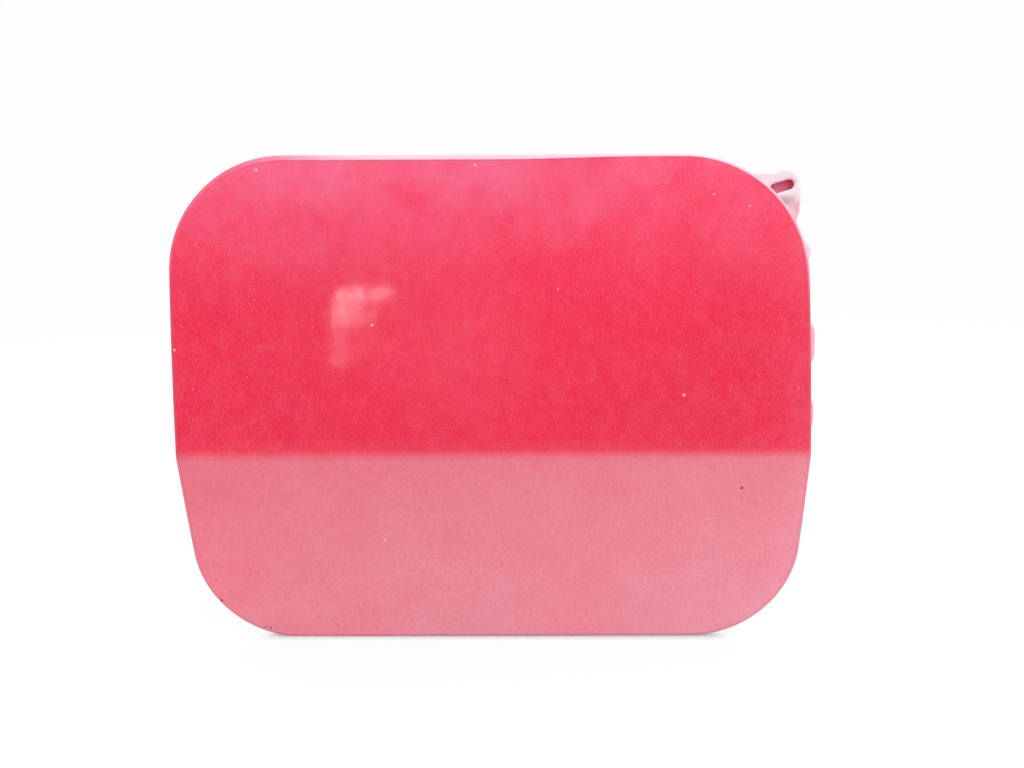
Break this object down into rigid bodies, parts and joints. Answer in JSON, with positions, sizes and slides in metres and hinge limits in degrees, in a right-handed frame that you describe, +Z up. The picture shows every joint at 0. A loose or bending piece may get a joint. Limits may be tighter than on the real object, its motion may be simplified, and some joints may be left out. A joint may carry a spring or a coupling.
{
  "type": "car fuel door",
  "caption": "Creased, round-cornered steel fuel door with hemmed edge, inner liner, catch, rubber buffers and a sprung side hinge on its bolt-on bracket.",
  "frame": {"origin": "middle of the two body bolt holes, on the back face of the base bracket's foot", "axes": "as on the car with the door closed: outer face towards -Y, +X towards the hinge, +Z up along the hinge pin"},
  "size_m": [0.212, 0.028, 0.1595],
  "materials": {
    "body_paint": "worn glossy crimson paint, hazed and finely scratched",
    "liner_paint": "thinner crimson overspray on the hidden side",
    "hinge_paint": "crimson paint over pressed steel",
    "rivet_steel": "plain steel, lightly dulled",
    "plated_steel": "zinc plated",
    "spring_steel": "oiled spring steel",
    "nylon": "natural nylon",
    "rubber": "matt black rubber",
    "mastic": "cured grey mastic"
  },
  "bodies": {
    "base": {"base_bracket": "hinge_paint", "ear_backing": "hinge_paint", "hinge_pin": "plated_steel", "pin_clip": "spring_steel", "torsion_spring": "spring_steel", "stop_pad": "rubber"},
    "door": {"outer_panel": "body_paint", "inner_liner": "liner_paint", "mastic_pads": "mastic", "hinge_leaf": "hinge_paint", "leaf_rivets": "rivet_steel", "upper_bush": "nylon", "lower_bush": "nylon", "catch_hook": "plated_steel", "catch_rivets": "rivet_steel", "upper_buffer": "rubber", "lower_buffer": "rubber"}
  },
  "joints": [
    {"name": "door_hinge", "type": "hinge", "parent": "base", "child": "door", "pos_m": [-0.0128, -0.0197, 0], "axis": [0, 0, 1], "range_deg": [0, 88], "stiffness_Nm_per_rad": 0.05, "springref_deg": -20.05, "deforming": ["torsion_spring"]}
  ]
}
